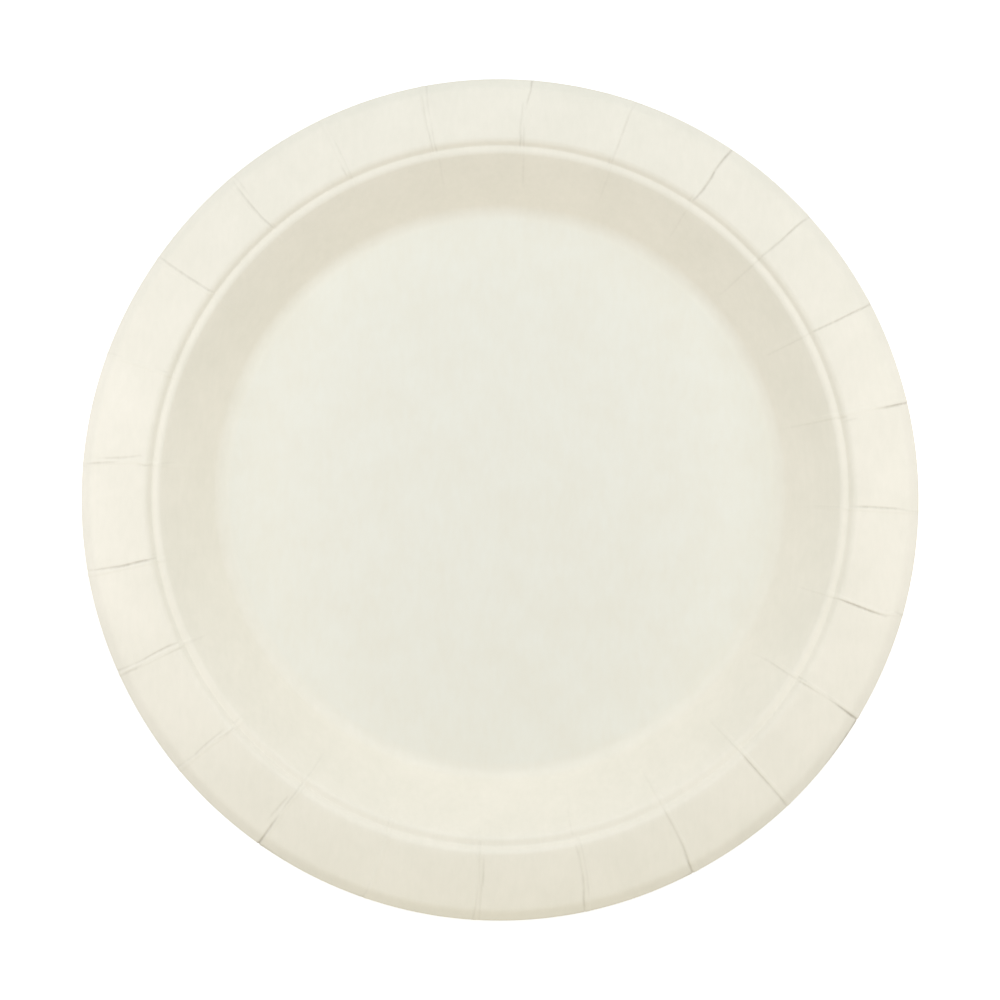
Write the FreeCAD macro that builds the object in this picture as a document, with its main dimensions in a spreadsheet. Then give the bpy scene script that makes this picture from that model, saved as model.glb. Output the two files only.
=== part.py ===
import FreeCAD, Part
import math
import os
import Sketcher

# Pressed paper plate: one sheet of board, drawn into a round dish with a pleated, rolled-down rim.
# Everything is in millimetres and degrees. The plate stands on the underside of its flat floor, so the
# origin is the centre of that underside and +Z is the plate's axis, pointing up out of the dish.

NODE = "plate"

# Driving sizes. Heights, radii and runs are those of the board's underside.
SIZES = [
    ("board", 0.45, "thickness of the paperboard"),
    ("rim_radius", 115.0, "underside of the board at its outer edge"),
    ("floor_radius", 77.6, "flat floor, up to where it starts to bend"),
    ("floor_bend", 6.5, "radius of the bend between floor and wall"),
    ("wall_slope", 50.0, "angle of the wall above the floor"),
    ("ledge_height", 15.7, "height of the narrow ledge round the top of the wall"),
    ("wall_top_slope", 25.0, "angle of the eased corner between wall and ledge"),
    ("wall_top_width", 0.8, "radial width of that eased corner"),
    ("ledge_width", 1.5, "radial width of the ledge"),
    ("riser_slope", 52.0, "angle of the riser, the short step up from ledge to brim"),
    ("riser_height", 1.2, "height of the riser"),
    ("shoulder_slope", 22.0, "angle of the eased corner between riser and brim"),
    ("shoulder_width", 0.8, "radial width of that eased corner"),
    ("brim_fall", 1.5, "outward fall of the brim"),
    ("lip_shoulder_slope", 10.0, "fall of the first facet that rolls the rim down"),
    ("lip_shoulder_width", 2.2, "radial width of that facet"),
    ("lip_slope", 28.0, "fall of the lip below it"),
    ("lip_width", 2.1, "radial width of the lip"),
    ("pleat_count", 24, "gathers pressed into the board round the rim"),
    ("pleat_phase", 11.44, "direction of the first pleat, from +X towards +Y"),
    ("pleat_spread", 0.6, "angle that the folded strip of one pleat takes up"),
    ("pleat_proud", 0.12, "how far the folded strip stands out of the board's upper face"),
]

(FLOOR, FLOOR_BEND, WALL, WALL_TOP, LEDGE, RISER, SHOULDER, BRIM, LIP_SHOULDER, LIP) = range(10)
START, END = 1, 2


def make_sheet(doc):
    """Put each driving size in a row of a sheet, with its name and meaning, and return the sheet."""
    sheet = doc.addObject("Spreadsheet::Sheet", "sizes")
    for row, (name, value, note) in enumerate(SIZES, start=1):
        sheet.set(f"A{row}", name)
        sheet.set(f"B{row}", str(value))
        sheet.set(f"C{row}", note)
        sheet.setAlias(f"B{row}", name)
    doc.recompute()
    return sheet


def origin_feature(body, role):
    """Return the body's own origin plane or axis with this role."""
    return next(item for item in body.Origin.OriginFeatures if item.Role == role)


def across(start, slope, width):
    """Return a straight line from start that runs outward by width at this slope."""
    rise = width * math.tan(math.radians(slope))
    return Part.LineSegment(start, start + FreeCAD.Vector(width, rise, 0))


def underside_stretches(sheet):
    """Work out the stretches of the underside, from the centre out to the edge."""
    middle = FreeCAD.Vector(0, 0, 0)
    stretches = [across(middle, 0, sheet.floor_radius)]

    def bend_point(slope):
        turned = math.radians(slope)
        reach = FreeCAD.Vector(math.sin(turned), 1 - math.cos(turned), 0) * sheet.floor_bend
        return stretches[0].EndPoint + reach

    foot = bend_point(sheet.wall_slope)
    stretches.append(Part.Arc(bend_point(0), bend_point(sheet.wall_slope / 2), foot))

    wall_top_rise = sheet.wall_top_width * math.tan(math.radians(sheet.wall_top_slope))
    wall_rise = sheet.ledge_height - wall_top_rise - foot.y
    wall_width = wall_rise / math.tan(math.radians(sheet.wall_slope))
    riser_width = sheet.riser_height / math.tan(math.radians(sheet.riser_slope))
    brim_width = (
        sheet.rim_radius - sheet.lip_width - sheet.lip_shoulder_width
        - (foot.x + wall_width + sheet.wall_top_width + sheet.ledge_width)
        - (riser_width + sheet.shoulder_width)
    )
    point = foot
    for slope, width in (
        (sheet.wall_slope, wall_width),
        (sheet.wall_top_slope, sheet.wall_top_width),
        (0, sheet.ledge_width),
        (sheet.riser_slope, riser_width),
        (sheet.shoulder_slope, sheet.shoulder_width),
        (-sheet.brim_fall, brim_width),
        (-sheet.lip_shoulder_slope, sheet.lip_shoulder_width),
        (-sheet.lip_slope, sheet.lip_width),
    ):
        stretches.append(across(point, slope, width))
        point = stretches[-1].EndPoint
    return stretches


def draw_underside(body, sheet):
    """Draw the underside of the board from centre to edge, on the upright plane of the first pleat."""
    sketch = body.newObject("Sketcher::SketchObject", "underside")
    sketch.AttachmentSupport = [(origin_feature(body, "XZ_Plane"), "")]
    sketch.MapMode = "FlatFace"
    upright = FreeCAD.Vector(0, 1, 0)
    sketch.AttachmentOffset = FreeCAD.Placement(
        FreeCAD.Vector(), FreeCAD.Rotation(upright, sheet.pleat_phase)
    )
    sketch.setExpression("AttachmentOffset.Rotation.Angle", f"{sheet.Name}.pleat_phase")
    for stretch in underside_stretches(sheet):
        sketch.addGeometry(stretch)

    def fix(*rule):
        return sketch.addConstraint(Sketcher.Constraint(*rule))

    def size(name, sign, kind, *where):
        """Tie one dimension of the sketch to the size of this name."""
        formula = f"{'-' if sign < 0 else ''}{sheet.Name}.{name}"
        value = sign * sheet.get(name)
        if kind == "Angle":
            value = math.radians(value)
            formula += " * 1 deg"
        sketch.renameConstraint(fix(kind, *where, value), name)
        sketch.setExpression(f"Constraints.{name}", formula)

    fix("Coincident", FLOOR, START, -1, START)
    fix("Tangent", FLOOR, END, FLOOR_BEND, START)
    fix("Tangent", FLOOR_BEND, END, WALL, START)
    for inner in range(WALL, LIP):
        fix("Coincident", inner, END, inner + 1, START)
    fix("Horizontal", FLOOR)
    fix("Horizontal", LEDGE)

    size("floor_radius", 1, "DistanceX", FLOOR, START, FLOOR, END)
    size("floor_bend", 1, "Radius", FLOOR_BEND)
    size("wall_slope", 1, "Angle", WALL)
    size("wall_top_slope", 1, "Angle", WALL_TOP)
    size("wall_top_width", 1, "DistanceX", WALL_TOP, START, WALL_TOP, END)
    size("ledge_height", 1, "DistanceY", FLOOR, START, LEDGE, START)
    size("ledge_width", 1, "DistanceX", LEDGE, START, LEDGE, END)
    size("riser_slope", 1, "Angle", RISER)
    size("riser_height", 1, "DistanceY", RISER, START, RISER, END)
    size("shoulder_slope", 1, "Angle", SHOULDER)
    size("shoulder_width", 1, "DistanceX", SHOULDER, START, SHOULDER, END)
    size("brim_fall", -1, "Angle", BRIM)
    size("lip_shoulder_slope", -1, "Angle", LIP_SHOULDER)
    size("lip_shoulder_width", 1, "DistanceX", LIP_SHOULDER, START, LIP_SHOULDER, END)
    size("lip_slope", -1, "Angle", LIP)
    size("lip_width", 1, "DistanceX", LIP, START, LIP, END)
    size("rim_radius", 1, "DistanceX", FLOOR, START, LIP, END)
    body.Document.recompute()
    return sketch


def edge_names(first, last):
    """Return the sketch's names for its stretches from first to last."""
    return tuple(f"Edge{index + 1}" for index in range(first, last + 1))


def offset_line(body, name, line, edges, distance):
    """Return a binder that copies some edges of a line and sets the copy off by a distance."""
    copy = body.newObject("PartDesign::SubShapeBinder", name)
    copy.Support = [(line, edges)]
    copy.OffsetJoinType = "Intersection"
    copy.OffsetOpenResult = True
    copy.setExpression("Offset", distance)
    body.Document.recompute()
    return copy


def band(body, name, line, edges, thickness):
    """Return the face between some edges of a line and their offset by a thickness."""
    face = offset_line(body, name, line, edges, thickness)
    face.OffsetFill = True
    body.Document.recompute()
    return face


def spin(body, name, profile, angle):
    """Turn a face about +Z by an angle, given as a formula, to add material."""
    feature = body.newObject("PartDesign::Revolution", name)
    feature.Profile = profile
    feature.ReferenceAxis = (origin_feature(body, "Z_Axis"), [""])
    feature.setExpression("Angle", angle)
    body.Document.recompute()
    return feature


def make_plate(doc, sheet):
    """Build the plate: the turned board, then the folded strip of one pleat, repeated round the rim.

    A pleat's strip is rooted in the middle of the board and stands out of its upper face, from the
    foot of the wall over ledge, riser and brim to the edge of the lip.
    """
    body = doc.addObject("PartDesign::Body", NODE)
    body.Label = NODE
    at = sheet.Name
    underside = draw_underside(body, sheet)

    section = band(body, "board_section", underside, edge_names(FLOOR, LIP), f"{at}.board")
    spin(body, "pressed_board", section, "360")

    middle = offset_line(
        body, "middle_of_board", underside, edge_names(WALL, LIP), f"{at}.board / 2"
    )
    fold = band(body, "fold_section", middle, ("",), f"{at}.board / 2 + {at}.pleat_proud")
    strip = spin(body, "folded_strip", fold, f"{at}.pleat_spread")

    pleats = body.newObject("PartDesign::PolarPattern", "pleats")
    pleats.Originals = [strip]
    pleats.Axis = (origin_feature(body, "Z_Axis"), [""])
    pleats.Angle = 360
    pleats.setExpression("Occurrences", f"{at}.pleat_count")
    body.Tip = pleats
    doc.recompute()
    return body


def check(doc, body):
    """Stop if any object of the document failed, or if the plate is not one valid solid."""
    for item in doc.Objects:
        if "Invalid" in item.State or "Error" in item.State:
            raise RuntimeError(f"{item.Name} did not build: {item.getStatusString()}")
    if body.Shape.isNull() or not body.Shape.isValid() or len(body.Shape.Solids) != 1:
        raise RuntimeError("the plate is not one valid solid")


def main():
    """Build the plate and write its file."""
    doc = FreeCAD.newDocument("paper_plate")
    sheet = make_sheet(doc)
    plate = make_plate(doc, sheet)
    check(doc, plate)
    os.makedirs("parts", exist_ok=True)
    plate.Shape.exportStep(f"parts/{plate.Label}.step")
    print(plate.Label, "volume", round(plate.Shape.Volume, 1), "box", plate.Shape.BoundBox)


if __name__ == "__main__":
    main()
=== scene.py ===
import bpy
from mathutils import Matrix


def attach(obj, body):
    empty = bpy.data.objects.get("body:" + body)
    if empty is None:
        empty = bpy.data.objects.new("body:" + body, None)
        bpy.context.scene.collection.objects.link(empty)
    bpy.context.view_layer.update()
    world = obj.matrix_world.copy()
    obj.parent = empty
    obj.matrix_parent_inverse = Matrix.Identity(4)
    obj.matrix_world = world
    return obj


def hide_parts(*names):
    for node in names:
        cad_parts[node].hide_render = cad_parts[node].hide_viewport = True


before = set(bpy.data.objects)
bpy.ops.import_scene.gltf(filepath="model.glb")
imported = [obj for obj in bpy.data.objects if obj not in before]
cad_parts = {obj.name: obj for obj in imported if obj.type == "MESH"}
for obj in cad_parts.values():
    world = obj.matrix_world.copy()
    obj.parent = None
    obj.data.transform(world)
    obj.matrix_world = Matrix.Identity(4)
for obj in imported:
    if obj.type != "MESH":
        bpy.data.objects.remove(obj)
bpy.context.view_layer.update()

# A pressed paper plate: one sheet of clay-coated board with a flat floor and a pleated, rolled rim.
#
# The board is drawn as one line from the centre of the floor to its edge, turned into a sheet, given its
# thickness and then worked over like the real one: each pleat is folded and pressed flat. Painted shade
# darkens its shut lines.
# Sizes in the classes are in millimetres and degrees, and meshes are in metres.

import logging
import math
from dataclasses import dataclass
from enum import Enum
from typing import Any

import bmesh
import bpy
from mathutils import Matrix, Vector, noise

log = logging.getLogger("paper_plate")

MM = 0.001
WHITE = "#FFFFFF"


def linear(hex_colour: str, alpha: float = 1.0) -> tuple[float, float, float, float]:
    """Turn an sRGB colour into the linear values that Blender's sockets hold.

    Args:
        hex_colour: six hex digits with a leading hash sign.
        alpha: the fourth value, passed on as it is.

    Returns:
        Red, green, blue and alpha.
    """
    shares = (int(hex_colour[i : i + 2], 16) / 255 for i in (1, 3, 5))
    red, green, blue = (s / 12.92 if s <= 0.04045 else ((s + 0.055) / 1.055) ** 2.4 for s in shares)
    return red, green, blue, alpha


def ease(value: float, low: float, high: float) -> float:
    """Rise smoothly from 0 at low to 1 at high, or fall if high is the smaller one.

    Args:
        value: the place to look at.
        low: where the result is 0.
        high: where the result is 1.

    Returns:
        A share from 0 to 1.
    """
    share = min(1.0, max(0.0, (value - low) / (high - low)))
    return share * share * (3 - 2 * share)


def along(points: tuple[tuple[float, ...], ...], place: float, column: int = 1) -> float:
    """Read a chain of (place, value, ...) points at a place, straight between them and level outside.

    Args:
        points: the chain, with places that rise.
        place: where to read it.
        column: which value of the points to read.

    Returns:
        The value there.
    """
    if place <= points[0][0]:
        return points[0][column]
    for before, after in zip(points, points[1:]):
        if place <= after[0]:
            share = (place - before[0]) / (after[0] - before[0])
            return before[column] + (after[column] - before[column]) * share
    return points[-1][column]


def node(
    tree: bpy.types.NodeTree,
    kind: str,
    settings: dict[str | int, Any] | None = None,
    links: dict[str | int, bpy.types.NodeSocket] | None = None,
) -> bpy.types.Node:
    """Add one shader node.

    Args:
        tree: the node tree it goes into.
        kind: Blender's name for the node's type.
        settings: values of its input sockets, by name or number, and of its own properties.
        links: sockets of other nodes to plug into its inputs.

    Returns:
        The new node.
    """
    made = tree.nodes.new(kind)
    for name, value in (settings or {}).items():
        if isinstance(name, int) or name in made.inputs:
            made.inputs[name].default_value = value
        else:
            setattr(made, name, value)
    for name, source in (links or {}).items():
        tree.links.new(source, made.inputs[name])
    return made


class Lap(Enum):
    """Which way the spare board of a pleat is folded over."""

    LEFT = 1
    RIGHT = -1


@dataclass(frozen=True)
class ShutLine:
    """One line that shows where the folded board meets itself.

    Attributes:
        course: where it runs, from the inside out, as (radius, millimetres beside the pleat's direction
        towards larger angles, how dark its painted shade and how deep its groove are, from 0 to 1).
        fade: length over which it sets in and runs out at its ends.
    """

    course: tuple[tuple[float, float, float], ...]
    fade: float = 0.8

    def reach(self, place: float, radius: float, half_width: float) -> float:
        """Return how much of the line reaches a point, from 0 to 1.

        Args:
            place: millimetres from the pleat's direction to the point, towards larger angles.
            radius: radius of the point.
            half_width: how far the line reaches to each side.

        Returns:
            The line's strength there.
        """
        start, end = self.course[0][0], self.course[-1][0]
        if not start - self.fade < radius < end + self.fade:
            return 0.0
        beside = abs(place - along(self.course, radius)) / half_width
        ends = ease(radius, start - self.fade, start) * ease(radius, end + self.fade, end)
        return max(0.0, 1 - beside) * ends * along(self.course, radius, 2)


@dataclass(frozen=True)
class Pleat:
    """One gather of the rim, folded over and pressed flat.

    Attributes:
        angle: its direction, from +X towards +Y.
        lines: its shut lines.
        lean: where the fold runs, as (radius, millimetres beside its direction towards larger angles).
        lap: the side to which the spare board lies.
        width: width of the folded strip.
        proud: how far the strip stands out.
        rim: how dark the painted shade on the cut edge is beside the fold, as (degrees from its direction,
        share from 0 to 1).
    """

    angle: float
    lines: tuple[ShutLine, ...]
    lean: tuple[tuple[float, float], ...] = ((0.0, 0.0),)
    lap: Lap = Lap.LEFT
    width: float = 1.0
    proud: float = 0.07
    rim: tuple[tuple[float, float], ...] = ((0.0, 0.0),)


# The pleats as the photograph shows them, against the clock from the right. No two of them are alike.
PLEATS = (
    Pleat(11.55, (
        ShutLine(((105.5, 0.1, 0.07), (107.5, -0.05, 0.24), (109.5, -0.05, 0.38), (113, 0.0, 0.42),
                  (115, 0.0, 0.35))),
        ShutLine(((95.2, -0.4, 0.1), (96.8, -0.45, 0.12))),
        ShutLine(((96.8, -1.5, 0.1), (99.5, -1.4, 0.06))),
        ShutLine(((84, -0.1, 0.05), (89, -0.4, 0.08), (94, -0.3, 0.06))),
    )),
    Pleat(26.1, (
        ShutLine(((97, 0.15, 0.24), (99.5, 0.1, 0.29), (104, -0.05, 0.27), (107.5, 0.0, 0.35),
                  (115, -0.05, 0.24))),
        ShutLine(((85, -0.15, 0.06), (89, -0.25, 0.1), (92, -0.15, 0.065), (95.5, 0.15, 0.06))),
    )),
    Pleat(41.1, (
        ShutLine(((97, 0.15, 0.17), (103.5, -0.15, 0.27), (109.5, 0.05, 0.38), (112, 0.0, 0.24),
                  (115, -0.4, 0.12))),
        ShutLine(((84.5, -0.45, 0.05), (89, -0.2, 0.07), (96, 0.0, 0.09))),
    )),
    Pleat(55.5, (
        ShutLine(((96.5, 0.6, 0.16), (97.5, 0.25, 0.34), (99.5, 0.0, 0.38), (103.5, -0.1, 0.46),
                  (107.5, 0.3, 0.33), (111.5, 0.0, 0.5), (115, -0.45, 0.35))),
        ShutLine(((96, 1.5, 0.09), (97.5, 1.5, 0.06))),
        ShutLine(((87, 0.2, 0.04), (92, 0.6, 0.085), (94, 0.5, 0.04))),
    )),
    Pleat(70.75, (
        ShutLine(((96, 0.25, 0.1), (101.5, 0.1, 0.12), (105.5, 0.1, 0.145), (111.5, -0.1, 0.07),
                  (115, -0.9, 0.05))),
        ShutLine(((95.5, 1.0, 0.07), (96.6, 1.0, 0.06))),
        ShutLine(((87, 0.05, 0.03), (92, 0.0, 0.06), (95, 0.0, 0.05))),
    )),
    Pleat(86.2, (
        ShutLine(((95.8, 0.8, 0.16), (97.5, 0.65, 0.21), (99.5, 1.0, 0.12), (107.5, 0.7, 0.09))),
        ShutLine(((95.8, -0.25, 0.1), (97.5, -0.15, 0.16), (101, -0.05, 0.05))),
        ShutLine(((105.5, -0.15, 0.05), (107.5, -0.4, 0.13), (111.5, -1.2, 0.23),
                  (115, -1.5, 0.28))),
        ShutLine(((86, -0.8, 0.04), (90, -0.6, 0.085), (94, -0.4, 0.03))),
    ), lean=((97, 0.5), (104, 0.3), (107.5, 0.0), (111.5, -0.8), (115, -1.2)), lap=Lap.RIGHT),
    Pleat(101.4, (
        ShutLine(((96, 0.0, 0.1), (97.5, 0.0, 0.155), (101.5, 0.25, 0.12), (106, 0.3, 0.155),
                  (111.5, 0.0, 0.05))),
        ShutLine(((95.8, -1.0, 0.12), (98, -0.75, 0.1), (103.5, -1.1, 0.06), (109.5, -1.1, 0.08),
                  (112, -1.5, 0.1), (115, -1.85, 0.12))),
        ShutLine(((88, -1.1, 0.04), (93, -1.25, 0.07))),
    ), lean=((97, -0.4), (107, -0.4), (115, -0.9))),
    Pleat(115.8, (
        ShutLine(((95.5, 0.0, 0.07), (101.5, -0.1, 0.065), (105.5, -0.15, 0.085), (107.5, 0.0, 0.05),
                  (112, 0.1, 0.04))),
        ShutLine(((96.6, 1.0, 0.1), (97.5, 1.05, 0.15), (99.5, 1.15, 0.07))),
    )),
    Pleat(131.5, (
        ShutLine(((96, -0.1, 0.12), (97.5, 0.0, 0.28), (99.5, 0.3, 0.27), (103.5, 0.3, 0.3),
                  (107.5, 0.2, 0.23), (110, 0.05, 0.2), (112, -0.1, 0.09), (113.5, -0.2, 0.03))),
        ShutLine(((107.5, -1.05, 0.04), (109.5, -1.3, 0.11), (112, -1.55, 0.06),
                  (115, -1.5, 0.05))),
        ShutLine(((95.6, -0.8, 0.1), (96.4, -0.8, 0.08))),
    )),
    Pleat(146.2, (
        ShutLine(((96.3, -0.2, 0.08), (97.5, -0.05, 0.23), (103.5, 0.1, 0.29), (109.5, 0.1, 0.26),
                  (113, 0.0, 0.165), (115, 0.0, 0.07))),
    )),
    Pleat(161.1, (
        ShutLine(((97, 0.15, 0.09), (98, 0.15, 0.08), (100.5, 0.1, 0.01))),
        ShutLine(((111, 0.25, 0.03), (113, 0.15, 0.055), (115, 0.25, 0.03))),
    )),
    Pleat(176.0, (
        ShutLine(((99, -1.6, 0.08), (101.5, -0.9, 0.15), (104.5, -0.5, 0.22), (107.5, -0.25, 0.14),
                  (109.5, -0.1, 0.06))),
        ShutLine(((105.5, 0.8, 0.07), (107.5, 1.0, 0.19), (111.5, 1.45, 0.245), (113, 1.7, 0.12),
                  (115, 1.9, 0.05))),
        ShutLine(((96, 0.8, 0.08), (97.5, 1.2, 0.145), (99.5, 1.05, 0.05))),
        ShutLine(((91, -0.1, 0.05), (92.5, 0.0, 0.07), (94, 0.4, 0.04))),
    ), lean=((97, 0.0), (99.5, -0.6), (105.5, 0.1), (115, 1.4))),
    Pleat(191.8, (
        ShutLine(((96, -0.15, 0.1), (97.5, 0.0, 0.29), (99.5, -0.1, 0.45), (101.5, 0.0, 0.51),
                  (105.5, 0.15, 0.4), (108.5, -0.1, 0.29), (112, -0.25, 0.18), (115, -0.6, 0.05))),
        ShutLine(((95.4, -1.2, 0.06), (96.2, -1.2, 0.05))),
    )),
    Pleat(206.0, (
        ShutLine(((97, -0.4, 0.1), (99.5, -0.65, 0.27), (103.5, -0.55, 0.23), (107.5, -0.3, 0.17),
                  (109.5, -0.3, 0.06), (113, -0.55, 0.135), (115, -0.65, 0.17))),
        ShutLine(((108, 0.75, 0.05), (109.5, 0.95, 0.15), (111.5, 0.8, 0.24), (115, 0.9, 0.11))),
        ShutLine(((96.5, 1.2, 0.1), (97.5, 1.2, 0.14), (101.5, 1.1, 0.03))),
        ShutLine(((91, 1.1, 0.04), (92.5, 1.1, 0.065), (95.5, 0.5, 0.05))),
    )),
    Pleat(221.2, (
        ShutLine(((99.5, 0.0, 0.095), (103.5, -0.1, 0.16), (105.5, -0.1, 0.22), (109.5, 0.05, 0.125),
                  (112.5, -0.25, 0.065), (115, -0.5, 0.16))),
        ShutLine(((96.8, 1.5, 0.11), (97.5, 1.5, 0.15), (99.5, 1.35, 0.095), (101, 0.9, 0.07),
                  (102.5, 0.2, 0.06))),
        ShutLine(((93.5, 0.6, 0.04), (95.5, 0.7, 0.06))),
    ), lean=((97, 0.9), (101, 0.5), (104, 0.0), (115, -0.2))),
    Pleat(235.6, (
        ShutLine(((105.5, 0.65, 0.08), (107.5, 0.55, 0.3), (109.5, 0.5, 0.43), (115, 0.45, 0.54))),
        ShutLine(((100.5, -0.2, 0.1), (103, -0.5, 0.2), (105.5, -0.85, 0.18), (107, -1.1, 0.06))),
        ShutLine(((95.5, 1.0, 0.11), (97.5, 0.95, 0.18), (101.5, 0.7, 0.16), (103.5, 0.6, 0.07))),
        ShutLine(((88, 1.2, 0.04), (92, 1.3, 0.09), (94.5, 1.05, 0.07))),
    ), lean=((94, 1.0), (99.5, 0.6), (104, 0.1), (107, 0.3), (115, 0.5)),
        rim=((-0.3, 0.0), (0.1, 0.55), (0.6, 0.35), (4.5, 0.0))),
    Pleat(252.2, (
        ShutLine(((110.5, -0.9, 0.04), (113, -1.0, 0.1), (115, -1.7, 0.14))),
        ShutLine(((93.5, -1.1, 0.05), (95.5, -1.05, 0.07), (97, -0.6, 0.03))),
    ), lean=((94, -1.0), (100, -0.5), (111, -0.9), (115, -1.4)),
        rim=((-3.0, 0.0), (-0.8, 0.2), (-0.4, 0.0))),
    Pleat(267.1, (
        ShutLine(((98.5, 0.7, 0.07), (101.5, 0.7, 0.155), (103.5, 0.8, 0.2), (107.5, 0.35, 0.105),
                  (115, 0.2, 0.085))),
        ShutLine(((95, -0.6, 0.04), (99.5, -0.4, 0.09), (105.5, -0.2, 0.04))),
        ShutLine(((106.5, -0.5, 0.06), (109.5, -0.7, 0.09), (111.5, -0.9, 0.14),
                  (115, -1.55, 0.15))),
    ), lean=((97, 0.1), (105, 0.2), (109, -0.1), (115, -0.7)), lap=Lap.RIGHT),
    Pleat(281.9, (
        ShutLine(((97.5, 0.15, 0.1), (99.5, 0.3, 0.125), (101.5, 0.3, 0.09), (105.5, 0.2, 0.19),
                  (108.5, -0.15, 0.23), (111.5, -0.8, 0.275), (115, -1.3, 0.22))),
        ShutLine(((96, 1.3, 0.05), (99.5, 1.6, 0.065), (105.5, 1.4, 0.075), (109.5, 0.95, 0.09),
                  (111, 0.8, 0.05))),
        ShutLine(((90, -0.1, 0.04), (94.5, -0.25, 0.055))),
    ), lean=((97, 0.8), (105, 0.7), (109.5, 0.2), (115, -0.9)),
        rim=((-2.0, 0.0), (-0.5, 0.15), (0.0, 0.0))),
    Pleat(297.0, (
        ShutLine(((96.8, 0.0, 0.1), (99.5, 0.1, 0.175), (103.5, 0.15, 0.14), (107.5, 0.1, 0.2),
                  (109.5, -0.25, 0.26), (111.5, -0.55, 0.43), (115, -0.85, 0.38))),
        ShutLine(((87.5, -0.5, 0.04), (91, -0.4, 0.05), (95, -0.15, 0.025))),
    ), rim=((-2.5, 0.0), (-0.6, 0.3), (-0.3, 0.3), (0.0, 0.0))),
    Pleat(312.2, (
        ShutLine(((96.5, 0.0, 0.12), (97.5, 0.0, 0.25), (99.5, -0.1, 0.31), (105.5, -0.1, 0.27),
                  (109.5, -0.15, 0.21), (113, -0.3, 0.26), (115, -0.4, 0.16))),
        ShutLine(((87, -0.45, 0.03), (92, -0.3, 0.06), (96, 0.0, 0.075))),
    )),
    Pleat(327.15, (
        ShutLine(((105.8, 0.2, 0.06), (107.5, 0.0, 0.21), (109.5, -0.1, 0.375), (111.5, -0.25, 0.54),
                  (113, -0.3, 0.6), (115, -0.4, 0.5))),
        ShutLine(((95.8, 0.7, 0.16), (97.5, 0.8, 0.1))),
        ShutLine(((96.5, -0.25, 0.12), (97.5, -0.25, 0.2), (101.5, -0.1, 0.055), (103, 0.1, 0.02))),
        ShutLine(((104.5, 0.7, 0.05), (105.5, 0.7, 0.085), (106.5, 0.6, 0.05))),
        ShutLine(((85, -0.4, 0.03), (89, -0.15, 0.09), (92, -0.25, 0.14), (94.5, -0.3, 0.07))),
    ), rim=((-7.4, 0.0), (-5.0, 0.25), (-1.0, 0.6), (-0.2, 0.6), (0.0, 0.0))),
    Pleat(342.0, (
        ShutLine(((96.8, -0.65, 0.15), (97.5, -0.65, 0.25), (99.5, -0.7, 0.43), (103.5, -0.9, 0.475),
                  (107.5, -1.1, 0.39), (109.5, -1.1, 0.25), (110.8, -1.2, 0.08))),
        ShutLine(((108.9, 0.3, 0.07), (109.8, 0.3, 0.09))),
        ShutLine(((112.8, 0.9, 0.09), (115, 0.6, 0.22))),
        ShutLine(((88, -0.8, 0.04), (94.5, -0.85, 0.04), (96, -0.7, 0.05))),
    ), lean=((97, -0.6), (109, -0.9), (115, 0.2))),
    Pleat(356.8, (
        ShutLine(((96, -0.15, 0.07), (97.5, -0.1, 0.18), (99.5, 0.0, 0.34), (103.5, 0.0, 0.29),
                  (107.5, -0.05, 0.3), (109.5, -0.1, 0.16), (111.5, -0.4, 0.08),
                  (115, -0.55, 0.09))),
        ShutLine(((88, -0.7, 0.04), (93, -0.4, 0.05))),
    ), lap=Lap.RIGHT),
)


@dataclass(frozen=True)
class PleatDie:
    """How the die works each pleat into the board.

    Attributes:
        drag: degrees beside a pleat within which the board goes along fully, and beyond which it stays.
        drag_start: radii between which that drag sets in.
        near_step: half the width of the step up onto the folded strip.
        far_step: width of the step down at the strip's other side.
        growth: how the strip grows out of the wall, as (radius, share of its height).
        line_reach: how far to each side of a pleat its shut lines are looked for.
        line_width: half the width of the groove along a shut line.
        line_depth: depth of that groove, for a line of full strength.
        deepest: depth that no groove passes.
        back_depth: share of a groove's depth that shows on the back.
        painted_shade_width: half the width of the painted shade along a shut line.
        painted_shade_edge: radii between which the painted shade of the cut edge sets in.
        back_painted_shade: share of the painted shade that shows on the back.
    """

    drag: tuple[float, float] = (1.9, 7.3)
    drag_start: tuple[float, float] = (78.0, 88.0)
    near_step: float = 0.1
    far_step: float = 0.3
    growth: tuple[tuple[float, float], ...] = ((84.0, 0.0), (92.0, 0.5), (96.0, 1.0))
    line_reach: float = 3.0
    line_width: float = 0.35
    line_depth: float = 0.5
    deepest: float = 0.2
    back_depth: float = 0.5
    painted_shade_width: float = 0.5
    painted_shade_edge: tuple[float, float] = (114.3, 114.9)
    back_painted_shade: float = 0.4


@dataclass(frozen=True)
class Swell:
    """A slow unevenness round the rim.

    Attributes:
        amount: how strong it is.
        per_metre: how closely its swells follow one another.
        layer: which cut through the noise it follows.
        level: what is added to the noise, which goes from about -1 to 1.
    """

    amount: float
    per_metre: float
    layer: float
    level: float

    def at(self, place: Vector) -> float:
        """Return its strength at a place, seen from above."""
        over = Vector((place.x * self.per_metre, place.y * self.per_metre, self.layer))
        return self.amount * (noise.noise(over) + self.level)


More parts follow.
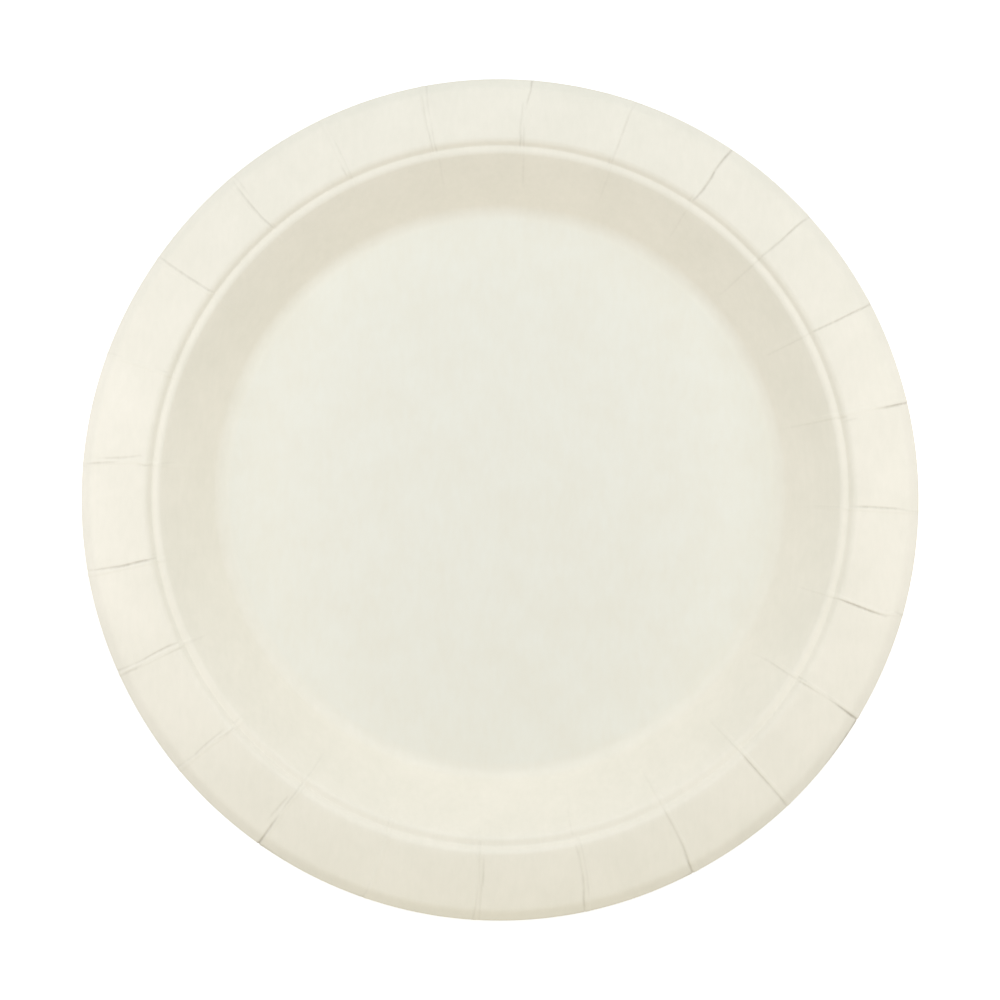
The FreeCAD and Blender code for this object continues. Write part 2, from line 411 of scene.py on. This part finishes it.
@dataclass
class BoardLine:
    """The underside of the board as a wire, drawn outwards from the centre of the floor.

    Attributes:
        bm: the mesh it is drawn in.
        heading: slope of the line where it has got to.
    """

    bm: bmesh.types.BMesh
    heading: float = 0.0

    def __post_init__(self) -> None:
        """Start the wire at the origin, with a layer that keeps the slope at each vertex."""
        self.slopes = self.bm.verts.layers.float.new("slope")
        self.tip = self.bm.verts.new((0, 0, 0))

    def run(self, length: float, steps: int) -> None:
        """Carry the line straight on.

        Args:
            length: length of the run.
            steps: edges to make.
        """
        heading = math.radians(self.heading)
        stride = Vector((math.cos(heading), 0, math.sin(heading))) * (length * MM / steps)
        for _ in range(steps):
            self.tip = bmesh.ops.extrude_vert_indiv(self.bm, verts=[self.tip])["verts"][0]
            bmesh.ops.translate(self.bm, verts=[self.tip], vec=stride)
            self.tip[self.slopes] = self.heading

    def bend(self, radius: float, turn: float, steps: int) -> None:
        """Carry the line round an arc.

        Args:
            radius: radius of the arc.
            turn: degrees by which the slope rises, or falls if negative.
            steps: edges to make.
        """
        side = math.copysign(1, turn)
        heading = math.radians(self.heading)
        centre = self.tip.co + Vector((-math.sin(heading), 0, math.cos(heading))) * (side * radius * MM)
        for _ in range(steps):
            turned = bmesh.ops.spin(
                self.bm, geom=[self.tip], cent=centre, axis=(0, -side, 0),
                angle=math.radians(abs(turn) / steps), steps=1, use_duplicate=False,
            )
            self.tip = next(item for item in turned["geom_last"] if isinstance(item, bmesh.types.BMVert))
            self.heading += turn / steps
            self.tip[self.slopes] = self.heading


@dataclass(frozen=True)
class CoatedBoard:
    """Clay-coated bleached board, pressed hot in a polished die.

    The coated face is cream and nearly matt, with a faint sheen, the cloudy mottle of the fibres under the
    clay and a fine felt grain. The uncoated back and the cut edge are browner and duller. Where a fold has
    shut, a patchy brown-grey line of painted shade stands for the shadow in its gap. The cut edge beside
    some folds is darkened with the same painted shade.

    Attributes:
        face: colour of the coated face on the floor.
        face_painted_cast: colour of the coated face on wall and rim, a painted warm cast of light.
        face_deep: colour of the thicker clouds in its mottle.
        back: colour of the uncoated back and the cut edge.
        painted_crease_shade: colour of the painted shade along a shut line and on the cut edge beside some
            folds.
        painted_cast_zone: radii between which the floor's colour passes into the painted warm cast of the
            wall.
        cloud: size of the soft clouds.
        cloud_share: how much of the deeper colour the clouds take at most.
        fibre: length of the fibre flecks.
        fibre_share: how much of the deeper colour the flecks take at most.
        grain: size of the felt grain, drawn about three times as coarse as it is, so that it shows.
        grain_depth: depth of the felt grain.
        face_roughness: roughness of the coated face.
        back_roughness: roughness of the back and the cut edge.
    """

    face: str = "#EFEDE2"
    face_painted_cast: str = "#F5EFE1"
    face_deep: str = "#EBE6D7"
    back: str = "#E4DCC8"
    painted_crease_shade: str = "#7E705A"
    painted_cast_zone: tuple[float, float] = (77.0, 82.0)
    cloud: float = 14.0
    cloud_share: float = 0.35
    fibre: float = 1.6
    fibre_share: float = 0.3
    grain: float = 0.5
    grain_depth: float = 0.02
    face_roughness: float = 0.58
    back_roughness: float = 0.85

    def dress(self, piece: bpy.types.Object) -> None:
        """Give a piece this finish.

        Args:
            piece: the object whose only material this becomes.
        """
        material = bpy.data.materials.new("clay_coated_board")
        material.use_nodes = True
        tree = material.node_tree
        tree.nodes.clear()
        place = node(tree, "ShaderNodeTexCoord").outputs["Object"]

        cloud = node(
            tree, "ShaderNodeTexNoise",
            {"Scale": 1 / (self.cloud * MM), "Detail": 3.0, "Roughness": 0.55}, {"Vector": place},
        )
        lengthwise = node(tree, "ShaderNodeMapping", {"Scale": (1.0, 0.35, 1.0)}, {"Vector": place})
        fibre = node(
            tree, "ShaderNodeTexNoise",
            {"Scale": 1 / (self.fibre * MM), "Detail": 5.0, "Roughness": 0.65},
            {"Vector": lengthwise.outputs["Vector"]},
        )
        clouds = node(
            tree, "ShaderNodeMapRange",
            {"From Min": 0.35, "From Max": 0.65, "To Min": 0.0, "To Max": self.cloud_share},
            {"Value": cloud.outputs["Fac"]},
        )
        flecks = node(
            tree, "ShaderNodeMapRange",
            {"From Min": 0.35, "From Max": 0.7, "To Min": 0.0, "To Max": self.fibre_share},
            {"Value": fibre.outputs["Fac"]},
        )
        mottle = node(
            tree, "ShaderNodeMath", {"operation": "ADD"},
            {0: clouds.outputs["Result"], 1: flecks.outputs["Result"]},
        )
        # The wall and the rim are painted a shade warmer than the floor: a painted cast of the light's
        # colour.
        flat = node(tree, "ShaderNodeVectorMath", {"operation": "MULTIPLY", 1: (1.0, 1.0, 0.0)}, {0: place})
        radius = node(tree, "ShaderNodeVectorMath", {"operation": "LENGTH"}, {0: flat.outputs["Vector"]})
        drawn = node(
            tree, "ShaderNodeMapRange",
            {"From Min": self.painted_cast_zone[0] * MM, "From Max": self.painted_cast_zone[1] * MM},
            {"Value": radius.outputs["Value"]},
        )
        ground = node(
            tree, "ShaderNodeMix",
            {"data_type": "RGBA", 6: linear(self.face), 7: linear(self.face_painted_cast)},
            {0: drawn.outputs["Result"]},
        )
        face = node(
            tree, "ShaderNodeMix", {"data_type": "RGBA", 7: linear(self.face_deep)},
            {0: mottle.outputs["Value"], 6: ground.outputs[2]},
        )
        coated = node(tree, "ShaderNodeAttribute", {"attribute_name": "coated"})
        board = node(
            tree, "ShaderNodeMix", {"data_type": "RGBA", 6: linear(self.back)},
            {0: coated.outputs["Fac"], 7: face.outputs[2]},
        )
        # Painted shade darkens the shut lines and the cut edge beside some folds, patchy along the fibres.
        painted_crease_shade = node(tree, "ShaderNodeAttribute", {"attribute_name": "painted_crease_shade"})
        patchy = node(
            tree, "ShaderNodeMapRange",
            {"From Min": 0.3, "From Max": 0.6, "To Min": 0.55, "To Max": 1.0},
            {"Value": fibre.outputs["Fac"]},
        )
        painted_shade = node(
            tree, "ShaderNodeMath", {"operation": "MULTIPLY"},
            {0: painted_crease_shade.outputs["Fac"], 1: patchy.outputs["Result"]},
        )
        colour = node(
            tree, "ShaderNodeMix", {"data_type": "RGBA", 7: linear(self.painted_crease_shade)},
            {0: painted_shade.outputs["Value"], 6: board.outputs[2]},
        )
        roughness = node(
            tree, "ShaderNodeMapRange", {"To Min": self.back_roughness, "To Max": self.face_roughness},
            {"Value": coated.outputs["Fac"]},
        )
        grain = node(
            tree, "ShaderNodeTexNoise",
            {"Scale": 1 / (self.grain * MM), "Detail": 2.0, "Roughness": 0.5}, {"Vector": place},
        )
        felt = node(
            tree, "ShaderNodeBump", {"Strength": 0.35, "Distance": self.grain_depth * MM},
            {"Height": grain.outputs["Fac"]},
        )
        shader = node(
            tree, "ShaderNodeBsdfPrincipled", {"IOR": 1.5, "Sheen Weight": 0.05, "Sheen Roughness": 0.6},
            {
                "Base Color": colour.outputs[2],
                "Roughness": roughness.outputs["Result"],
                "Normal": felt.outputs["Normal"],
            },
        )
        node(tree, "ShaderNodeOutputMaterial", None, {"Surface": shader.outputs["BSDF"]})
        piece.data.materials.clear()
        piece.data.materials.append(material)


@dataclass
class PressedPlate:
    """The whole plate, one sheet of board.

    Attributes:
        board: thickness of the board.
        rim_radius: underside of the board at its outer edge.
        floor_radius: flat floor, up to where it starts to bend.
        floor_bend: radius of the bend between floor and wall.
        wall_slope: angle of the wall above the floor.
        ledge_height: height of the narrow ledge round the top of the wall.
        ledge_width: width of the ledge between the corners at its two sides.
        riser_slope: angle of the short step up from ledge to brim.
        riser_height: height of that step.
        ledge_rise: outward rise of the ledge.
        brim_fall: outward fall of the crowned brim where it meets the lip.
        lip_fall: fall of the lip at the edge.
        lip_width: width of the lip, its roll included.
        lip_roll: width of the roll between brim and lip.
        ledge_bend: radius of the corner between wall and ledge.
        riser_bend: radius of the corner between ledge and riser.
        shoulder_bend: radius of the corner between riser and brim.
        edge_break: how far the two corners of the cut edge are rounded.
        first_pleat: direction of the first of the evenly spaced scores.
        columns: the sheet's columns over one pleat, close together at the fold, as (degrees, how many).
        still: how far beyond the flat floor the board keeps its place when it settles.
        die: how the pleats are worked in.
        sag: how far the rim sags.
        draw_in: by what share of its radius the rim draws in.
    """

    board: float = 0.45
    rim_radius: float = 115.0
    floor_radius: float = 78.2
    floor_bend: float = 5.4
    wall_slope: float = 50.0
    ledge_height: float = 15.7
    ledge_width: float = 1.98
    riser_slope: float = 50.0
    riser_height: float = 1.4
    ledge_rise: float = 4.0
    brim_fall: float = 5.0
    lip_fall: float = 28.0
    lip_width: float = 3.8
    lip_roll: float = 1.5
    ledge_bend: float = 1.5
    riser_bend: float = 1.1
    shoulder_bend: float = 1.8
    edge_break: float = 0.09
    first_pleat: float = 11.44
    columns: tuple[tuple[float, int], ...] = ((5.6, 4), (0.88, 3), (2.2, 22), (0.88, 3), (5.44, 4))
    still: float = 2.0
    die: PleatDie = PleatDie()
    sag: Swell = Swell(amount=0.16, per_metre=14.0, layer=3.1, level=1.0)
    draw_in: Swell = Swell(amount=0.0007, per_metre=30.0, layer=8.7, level=0.6)

    def draw_section(self, bm: bmesh.types.BMesh) -> None:
        """Draw the underside of the board from the centre to the edge.

        Args:
            bm: an empty mesh.
        """
        wall_turn = self.wall_slope - self.ledge_rise
        riser_turn = self.riser_slope - self.ledge_rise

        def trim(radius: float, turn: float) -> float:
            """Return how much a corner's arc takes off the straight on each side of it."""
            return radius * math.tan(math.radians(turn / 2))

        at_wall = trim(self.ledge_bend, wall_turn)
        at_riser_foot = trim(self.riser_bend, riser_turn)
        at_riser_top = trim(self.shoulder_bend, self.riser_slope)

        line = BoardLine(bm)
        line.run(self.floor_radius, steps=2)
        line.bend(self.floor_bend, self.wall_slope, steps=8)
        wall = (self.ledge_height * MM - line.tip.co.z) / MM / math.sin(math.radians(self.wall_slope))
        line.run(wall - at_wall, steps=7)
        line.bend(self.ledge_bend, -wall_turn, steps=5)
        line.run(self.ledge_width - at_wall - at_riser_foot, steps=2)
        line.bend(self.riser_bend, riser_turn, steps=4)
        riser = self.riser_height / math.sin(math.radians(self.riser_slope))
        line.run(riser - at_riser_foot - at_riser_top, steps=1)
        line.bend(self.shoulder_bend, -self.riser_slope, steps=5)
        fall, end = math.sin(math.radians(self.brim_fall)), math.sin(math.radians(self.lip_fall))
        brim = self.rim_radius - self.lip_width - line.tip.co.x / MM
        line.bend(brim / fall, -self.brim_fall, steps=10)
        line.bend(self.lip_roll / (end - fall), self.brim_fall - self.lip_fall, steps=5)
        line.run((self.lip_width - self.lip_roll) / math.cos(math.radians(self.lip_fall)), steps=3)

    def turn_sheet(self, bm: bmesh.types.BMesh) -> None:
        """Turn the section into a sheet, with its columns close together at each pleat.

        Args:
            bm: the mesh that holds the section as a wire.
        """
        pitch = 360 / len(PLEATS)
        start = Matrix.Rotation(math.radians(self.first_pleat - pitch / 2), 3, "Z")
        bmesh.ops.rotate(bm, verts=bm.verts[:], cent=(0, 0, 0), matrix=start)
        front: list[Any] = [*bm.verts, *bm.edges]
        for width, steps in self.columns:
            turned = bmesh.ops.spin(
                bm, geom=front, cent=(0, 0, 0), axis=(0, 0, 1),
                angle=math.radians(width), steps=steps, use_duplicate=False,
            )
            front = turned["geom_last"]
        bmesh.ops.spin(
            bm, geom=[*bm.verts, *bm.edges, *bm.faces], cent=(0, 0, 0), axis=(0, 0, 1),
            angle=math.radians(360 - pitch), steps=len(PLEATS) - 1, use_duplicate=True,
        )
        touching = 0.004 * MM
        bmesh.ops.remove_doubles(bm, verts=bm.verts[:], dist=touching)

    def thicken(self, bm: bmesh.types.BMesh) -> None:
        """Give the sheet its thickness upwards, and mark which face of the board is the coated one.

        Args:
            bm: the mesh that holds the underside as a sheet.
        """
        bmesh.ops.recalc_face_normals(bm, faces=bm.faces[:])
        if sum(face.normal.z * face.calc_area() for face in bm.faces) > 0:
            bmesh.ops.reverse_faces(bm, faces=bm.faces[:])
        coated = bm.verts.layers.float.new("coated")
        # A layer for the painted shade of the shut lines and of the cut edge beside some folds.
        bm.verts.layers.float.new("painted_crease_shade")
        bmesh.ops.solidify(bm, geom=bm.faces[:], thickness=self.board * MM)
        bm.normal_update()
        upward = 0.2
        for face in bm.faces:
            if face.normal.z > upward:
                for vert in face.verts:
                    vert[coated] = 1.0
        bmesh.ops.recalc_face_normals(bm, faces=bm.faces[:])

    def round_edge(self, bm: bmesh.types.BMesh) -> None:
        """Break the two sharp corners of the cut edge.

        Args:
            bm: the mesh of the closed board.
        """
        sharp = math.radians(60)
        inside_rim = (self.rim_radius - 1) * MM
        rim = [
            edge for edge in bm.edges
            if edge.is_manifold and edge.calc_face_angle() > sharp
            and min(v.co.xy.length for v in edge.verts) > inside_rim
        ]
        bmesh.ops.bevel(
            bm, geom=rim, offset=self.edge_break * MM, offset_type="OFFSET", segments=2, profile=0.5,
            affect="EDGES", material=-1, clamp_overlap=True,
        )

    def fold_pleats(self, bm: bmesh.types.BMesh) -> None:
        """Work each pleat into the board, with its folded strip, its shut lines and the painted shade along
        them.

        Args:
            bm: the mesh of the closed board.
        """
        slopes = bm.verts.layers.float["slope"]
        coated = bm.verts.layers.float["coated"]
        painted_shade_layer = bm.verts.layers.float["painted_crease_shade"]
        die = self.die
        pitch = 360 / len(PLEATS)
        for vert in bm.verts:
            radius = vert.co.xy.length / MM
            if radius < self.floor_radius:
                continue
            angle = math.degrees(math.atan2(vert.co.y, vert.co.x))
            number = round((angle - self.first_pleat) / pitch)
            pleat = PLEATS[number % len(PLEATS)]
            beside = angle - (self.first_pleat + number * pitch)
            across = math.radians(beside) * radius
            top = vert[coated] > 0.5

            # The even score is dragged to where this pleat really runs, and the board beside it goes along.
            lean = along(pleat.lean, radius)
            even = self.first_pleat + number % len(PLEATS) * pitch
            drag = ease(abs(beside), die.drag[1], die.drag[0]) * ease(radius, *die.drag_start)
            turned = math.radians(angle + (pleat.angle - even + math.degrees(lean / radius)) * drag)

            # The folded strip stands out of both faces, and each shut line is a groove with painted shade
            # in it.
            inside = across * pleat.lap.value
            near = ease(inside, -die.near_step, die.near_step)
            far = ease(inside, pleat.width + die.far_step, pleat.width)
            height = pleat.proud * near * far * along(die.growth, radius)
            # Painted shade on the cut edge beside the fold and along each shut line.
            at_edge = ease(radius, *die.painted_shade_edge)
            painted_crease_shade = along(pleat.rim, math.degrees((across + lean) / radius)) * at_edge
            if abs(across) < die.line_reach:
                for shut in pleat.lines:
                    pressed = die.line_depth * shut.reach(across + lean, radius, die.line_width)
                    height -= min(die.deepest, pressed) * (1.0 if top else die.back_depth)
                    painted_crease_shade = max(painted_crease_shade, shut.reach(across + lean, radius, die.painted_shade_width))
            slope = math.radians(vert[slopes])
            side = 1 if top else -1
            shift_out = -math.sin(slope) * height * side
            shift_up = math.cos(slope) * height * side
            reach_out = radius + shift_out
            vert.co = Vector((
                math.cos(turned) * reach_out * MM,
                math.sin(turned) * reach_out * MM,
                vert.co.z + shift_up * MM,
            ))
            vert[painted_shade_layer] = painted_crease_shade if top else painted_crease_shade * die.back_painted_shade

    def settle(self, bm: bmesh.types.BMesh) -> None:
        """Let the rim sag and draw in by fractions of a millimetre, as board does when it cools.

        Args:
            bm: the mesh of the closed board.
        """
        for vert in bm.verts:
            radius = vert.co.xy.length / MM
            if radius < self.floor_radius + self.still:
                continue
            outer = ease(radius, self.floor_radius, self.rim_radius)
            vert.co.z -= self.sag.at(vert.co) * outer * MM
            vert.co.xy *= 1 - self.draw_in.at(vert.co) * outer

    def build(self, finish: CoatedBoard) -> bpy.types.Object:
        """Make the plate and hand it to the frame.

        Args:
            finish: what it is dressed in.

        Returns:
            The finished piece.
        """
        bm = bmesh.new()
        self.draw_section(bm)
        self.turn_sheet(bm)
        self.thicken(bm)
        self.round_edge(bm)
        self.fold_pleats(bm)
        self.settle(bm)
        mesh = bpy.data.meshes.new("pressed_plate")
        bm.to_mesh(mesh)
        bm.free()
        mesh.shade_smooth()
        mesh.attributes.remove(mesh.attributes["slope"])
        piece = bpy.data.objects.new("pressed_plate", mesh)
        bpy.context.scene.collection.objects.link(piece)
        finish.dress(piece)
        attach(piece, "root")
        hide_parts("plate")
        return piece


@dataclass(frozen=True)
class Softbox:
    """A square soft light that faces the plate.

    Attributes:
        name: its name.
        place: its middle.
        width: length of its sides.
        power: what it gives, in watts.
        colour: colour of its light.
    """

    name: str
    place: tuple[float, float, float]
    width: float
    power: float
    colour: str

    def hang(self) -> None:
        """Hang it in the scene, out of the camera's sight."""
        lamp = bpy.data.lights.new(self.name, "AREA")
        lamp.size = self.width * MM
        lamp.energy = self.power
        lamp.color = linear(self.colour)[:3]
        box = bpy.data.objects.new(self.name, lamp)
        box.location = Vector(self.place) * MM
        box.rotation_euler = (-box.location).to_track_quat("-Z", "Y").to_euler()
        box.visible_camera = False
        bpy.context.scene.collection.objects.link(box)


@dataclass
class Studio:
    """White table, soft light from the far side and a camera above the plate.

    Attributes:
        table_size: side of the square table.
        table_drop: how far its top lies below the plate.
        table_colour: colour of its top.
        table_glow: what the top gives off where it is seen, so that it renders white.
        camera_height: height of the lens above the table.
        tilt: how far the lens looks towards the far side.
        lens: focal length.
        sensor: width of the camera's sensor.
        shift: sideways and upward shift of the picture, in picture widths.
        sight: nearest and farthest distance that the camera sees, in metres.
        softboxes: the lamps.
        world_colour: colour of the light that comes from all round.
        world_strength: its strength.
    """

    table_size: float = 6000.0
    table_drop: float = 0.02
    table_colour: str = "#E6E6E6"
    table_glow: float = 0.62
    camera_height: float = 362.0
    tilt: float = 5.5
    lens: float = 45.17
    sensor: float = 36.0
    shift: tuple[float, float] = (-0.0001, -0.1344)
    sight: tuple[float, float] = (0.01, 20.0)
    softboxes: tuple[Softbox, ...] = (
        Softbox("left_softbox", (-230, 0, 180), 160, 0.18, "#FEFBFF"),
        Softbox("right_softbox", (230, 0, 180), 160, 0.159, "#FFFBFD"),
        Softbox("back_softbox", (0, 330, 420), 260, 0.686, "#F0F9FF"),
        Softbox("window_softbox", (430, 1870, 1610), 800, 5.4, "#F9FFF6"),
        Softbox("warm_front_fill", (0, -300, 150), 260, 0.125, "#FFEFB2"),
    )
    world_colour: str = "#FCFFFF"
    world_strength: float = 0.466

    def lay_table(self) -> bpy.types.Object:
        """Make the white table that the plate stands on.

        Returns:
            The table, which is part of the stage.
        """
        bm = bmesh.new()
        bmesh.ops.create_grid(bm, x_segments=1, y_segments=1, size=self.table_size * MM / 2)
        bmesh.ops.translate(bm, verts=bm.verts[:], vec=(0, 0, -self.table_drop * MM))
        mesh = bpy.data.meshes.new("white_table")
        bm.to_mesh(mesh)
        bm.free()
        table = bpy.data.objects.new("white_table", mesh)
        bpy.context.scene.collection.objects.link(table)

        material = bpy.data.materials.new("white_table_top")
        material.use_nodes = True
        tree = material.node_tree
        tree.nodes.clear()
        top = node(tree, "ShaderNodeBsdfDiffuse", {"Color": linear(self.table_colour)})
        glow = node(tree, "ShaderNodeEmission", {"Color": linear(WHITE), "Strength": self.table_glow})
        seen = node(tree, "ShaderNodeAddShader", None, {0: top.outputs[0], 1: glow.outputs[0]})
        chosen = node(
            tree, "ShaderNodeMixShader", None,
            {0: self.seen_rays(tree), 1: top.outputs[0], 2: seen.outputs[0]},
        )
        node(tree, "ShaderNodeOutputMaterial", None, {"Surface": chosen.outputs[0]})
        mesh.materials.append(material)
        return table

    @staticmethod
    def seen_rays(tree: bpy.types.NodeTree) -> bpy.types.NodeSocket:
        """Return a socket that is 1 for rays that show the background, directly, mirrored or refracted."""
        path = node(tree, "ShaderNodeLightPath")
        direct = node(
            tree, "ShaderNodeMath", {"operation": "MAXIMUM"},
            {0: path.outputs["Is Camera Ray"], 1: path.outputs["Is Glossy Ray"]},
        )
        every = node(
            tree, "ShaderNodeMath", {"operation": "MAXIMUM"},
            {0: direct.outputs[0], 1: path.outputs["Is Transmission Ray"]},
        )
        return every.outputs[0]

    def hang_lights(self) -> None:
        """Light the plate softly from all round and a little more from the far side."""
        world = bpy.data.worlds.new("soft_room")
        world.use_nodes = True
        tree = world.node_tree
        tree.nodes.clear()
        room = node(
            tree, "ShaderNodeBackground",
            {"Color": linear(self.world_colour), "Strength": self.world_strength},
        )
        white = node(tree, "ShaderNodeBackground", {"Color": linear(WHITE), "Strength": 1.0})
        chosen = node(
            tree, "ShaderNodeMixShader", None,
            {0: self.seen_rays(tree), 1: room.outputs[0], 2: white.outputs[0]},
        )
        node(tree, "ShaderNodeOutputWorld", None, {"Surface": chosen.outputs[0]})
        bpy.context.scene.world = world

        for softbox in self.softboxes:
            softbox.hang()

    def set_camera(self) -> None:
        """Put the camera above the plate."""
        data = bpy.data.cameras.new("camera")
        data.lens = self.lens
        data.sensor_width = self.sensor
        data.shift_x, data.shift_y = self.shift
        data.clip_start, data.clip_end = self.sight
        camera = bpy.data.objects.new("camera", data)
        camera.location = (0.0, 0.0, self.camera_height * MM)
        camera.rotation_euler = (math.radians(self.tilt), 0.0, 0.0)
        bpy.context.scene.collection.objects.link(camera)
        bpy.context.scene.camera = camera


def main() -> None:
    """Build the plate and its studio."""
    logging.basicConfig(level=logging.INFO, format="%(name)s: %(message)s")
    bpy.context.scene.view_settings.view_transform = "Standard"
    studio = Studio()
    table = studio.lay_table()
    log.info("%s: laid", table.name)
    studio.hang_lights()
    studio.set_camera()
    plate = PressedPlate().build(CoatedBoard())
    plate.data.calc_loop_triangles()
    log.info("%s: %d triangles", plate.name, len(plate.data.loop_triangles))
    bpy.context.view_layer.update()


if __name__ == "__main__":
    main()
